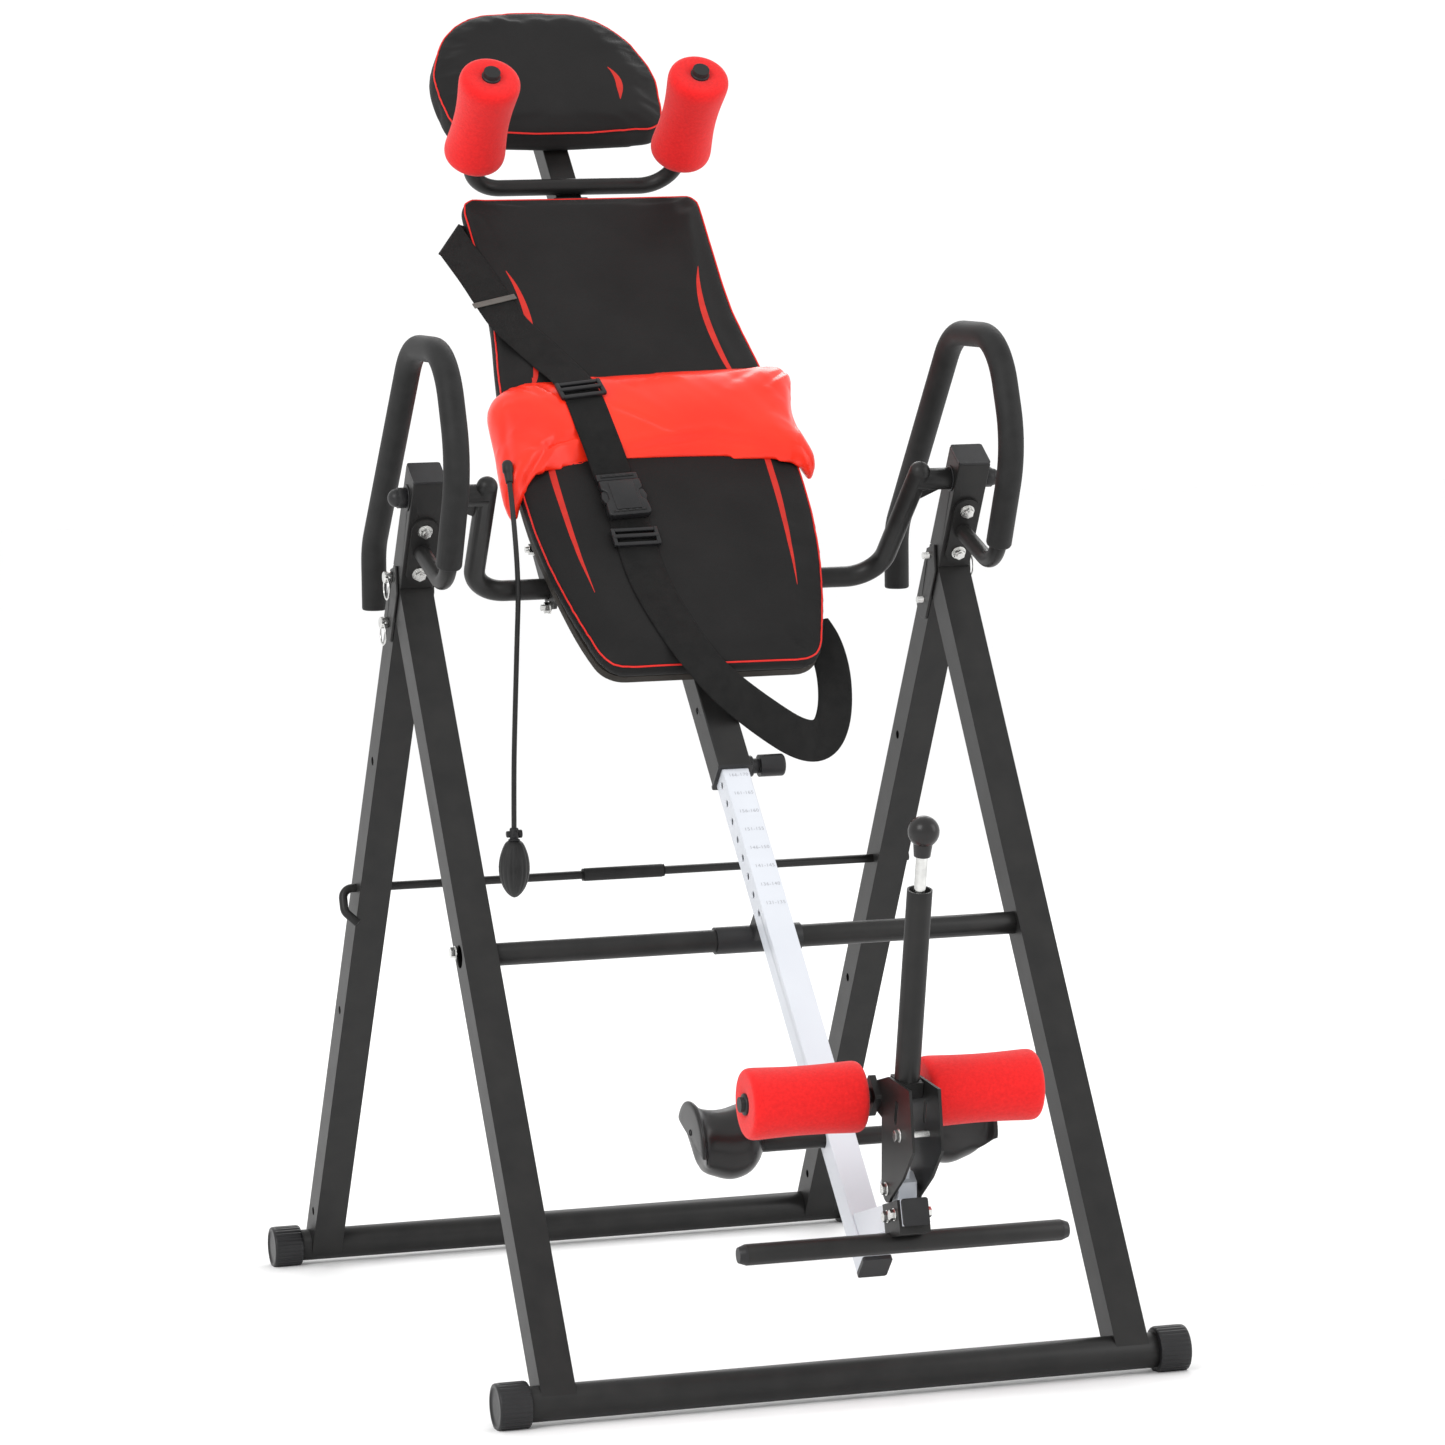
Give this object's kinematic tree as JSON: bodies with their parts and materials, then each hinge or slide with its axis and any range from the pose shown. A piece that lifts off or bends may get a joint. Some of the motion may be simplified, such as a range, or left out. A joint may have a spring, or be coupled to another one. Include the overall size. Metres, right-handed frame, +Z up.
{
  "type": "inversion table",
  "caption": "Folding A-frame inversion table: padded back board turning on side pivots, sliding foot boom with lever ankle clamp, foam rollers, looped side handles, lumbar pillow and strap.",
  "frame": {"origin": "on the floor, midway between the two A-frame sides and midway between the table's front and rear extremes at rest", "axes": "+X to the right of a person facing the pads, +Y towards the rear floor bar (head end), +Z up; the ankle clamp points to -Y"},
  "size_m": [0.764, 1.4683, 1.5336],
  "materials": {
    "frame_black": "satin",
    "boom_white": "satin",
    "zinc": "satin",
    "rod_black": "satin",
    "black_plastic": "satin",
    "bush_plastic": "matte",
    "grip_foam": "matte",
    "red_foam": "matte",
    "pad_leather": "matte",
    "board": "matte",
    "red_leather": "gloss",
    "webbing": "matte",
    "hose_rubber": "matte"
  },
  "bodies": {
    "front_frame": {"front_base_tube": "frame_black", "front_end_caps": "black_plastic", "front_leg_left": "frame_black", "front_leg_right": "frame_black", "head_left": "frame_black", "head_right": "frame_black", "hinge_plates": "frame_black", "crossbar": "frame_black", "crossbar_sleeve": "black_plastic", "frame_bolts": "zinc", "pivot_bushes": "bush_plastic", "handle_left": "frame_black", "handle_right": "frame_black", "handle_grips": "grip_foam", "hinge_pins": "zinc"},
    "rear_frame": {"rear_leg_left": "frame_black", "rear_leg_right": "frame_black", "rear_base_tube": "frame_black", "rear_base_caps": "black_plastic"},
    "lock_pin_left": {"lock_pin_left": "zinc"},
    "lock_pin_right": {"lock_pin_right": "zinc"},
    "angle_stop": {"angle_rod": "rod_black", "angle_rod_sleeve": "grip_foam"},
    "bed": {"pivot_arm_left": "frame_black", "pivot_arm_right": "frame_black", "pivot_axles": "zinc", "axle_caps": "black_plastic", "main_tube": "frame_black", "main_tube_collars": "black_plastic", "pad_brackets": "frame_black", "pad_bolts": "zinc", "back_board": "board", "back_pad": "pad_leather", "lumbar_pillow": "red_leather", "strap": "webbing", "strap_hardware": "black_plastic", "height_pin_housing": "zinc", "hose_upper": "hose_rubber"},
    "height_pin": {"height_pin_plunger": "zinc", "height_knob": "black_plastic"},
    "head_rest": {"headrest_post": "frame_black", "head_pad": "pad_leather", "shoulder_tube": "frame_black"},
    "shoulder_roller_left": {"shoulder_roller_left": "red_foam"},
    "shoulder_roller_right": {"shoulder_roller_right": "red_foam"},
    "foot_boom": {"boom": "boom_white", "boom_plugs": "black_plastic", "heel_bar": "frame_black", "heel_cups": "black_plastic", "ankle_support": "boom_white", "foot_bar": "frame_black", "boom_bolts": "zinc"},
    "ankle_lever": {"ankle_lever": "frame_black", "lever_bolts": "zinc"},
    "ankle_roller_left": {"ankle_roller_left": "red_foam"},
    "ankle_roller_right": {"ankle_roller_right": "red_foam"},
    "release_rod": {"release_rod": "zinc", "lever_knob": "black_plastic"},
    "hose": {"hose_lower": "hose_rubber", "squeeze_bulb": "hose_rubber"}
  },
  "joints": [
    {"name": "table_pivot", "type": "hinge", "parent": "front_frame", "child": "bed", "pos_m": [0, -0.0005, 0.955], "axis": [-1, 0, 0], "range_deg": [0, 82.3]},
    {"name": "rear_fold", "type": "hinge", "parent": "front_frame", "child": "rear_frame", "pos_m": [0, 0.09585, 0.81301], "axis": [-1, 0, 0], "range_deg": [0, 60]},
    {"name": "lock_pin_left_pull", "type": "slide", "parent": "front_frame", "child": "lock_pin_left", "axis": [-1, 0, 0], "range_m": [0, 0.06]},
    {"name": "lock_pin_right_pull", "type": "slide", "parent": "front_frame", "child": "lock_pin_right", "axis": [1, 0, 0], "range_m": [0, 0.06]},
    {"name": "angle_stop_pull", "type": "slide", "parent": "rear_frame", "child": "angle_stop", "axis": [-1, 0, 0], "range_m": [0, 0.23]},
    {"name": "height_pin_pull", "type": "slide", "parent": "bed", "child": "height_pin", "axis": [1, 0, 0], "range_m": [0, 0.01], "stiffness_N_per_m": 400, "springref_m": -0.004},
    {"name": "boom_slide", "type": "slide", "parent": "bed", "child": "foot_boom", "axis": [0, 0.6876, 0.7261], "range_m": [-0.129, 0.181]},
    {"name": "headrest_slide", "type": "slide", "parent": "bed", "child": "head_rest", "axis": [0, 0.6876, 0.7261], "range_m": [0, 0.1]},
    {"name": "shoulder_roller_left_spin", "type": "hinge", "parent": "head_rest", "child": "shoulder_roller_left", "pos_m": [-0.123, 0.43669, 1.39487], "axis": [0, -0.7261, 0.6876], "continuous": true},
    {"name": "shoulder_roller_right_spin", "type": "hinge", "parent": "head_rest", "child": "shoulder_roller_right", "pos_m": [0.135, 0.43669, 1.39487], "axis": [0, -0.7261, 0.6876], "continuous": true},
    {"name": "ankle_lever_swing", "type": "hinge", "parent": "foot_boom", "child": "ankle_lever", "pos_m": [0.006, -0.62784, 0.25034], "axis": [-1, 0, 0], "range_deg": [-18, 22]},
    {"name": "ankle_roller_left_spin", "type": "hinge", "parent": "ankle_lever", "child": "ankle_roller_left", "pos_m": [0.006, -0.59924, 0.34308], "axis": [1, 0, 0], "continuous": true},
    {"name": "ankle_roller_right_spin", "type": "hinge", "parent": "ankle_lever", "child": "ankle_roller_right", "pos_m": [0.006, -0.59924, 0.34308], "axis": [1, 0, 0], "continuous": true},
    {"name": "release_pull", "type": "slide", "parent": "ankle_lever", "child": "release_rod", "axis": [0, -0.2644, 0.9644], "range_m": [0, 0.012], "stiffness_N_per_m": 600, "springref_m": -0.006},
    {"name": "hose_swing", "type": "hinge", "parent": "bed", "child": "hose", "pos_m": [-0.188, 0.097, 0.827], "axis": [-1, 0, 0], "range_deg": [-82.8, 0.5]}
  ],
  "couplings": [
    {"joint": "hose_swing", "follows": "table_pivot", "ratio": -1}
  ]
}
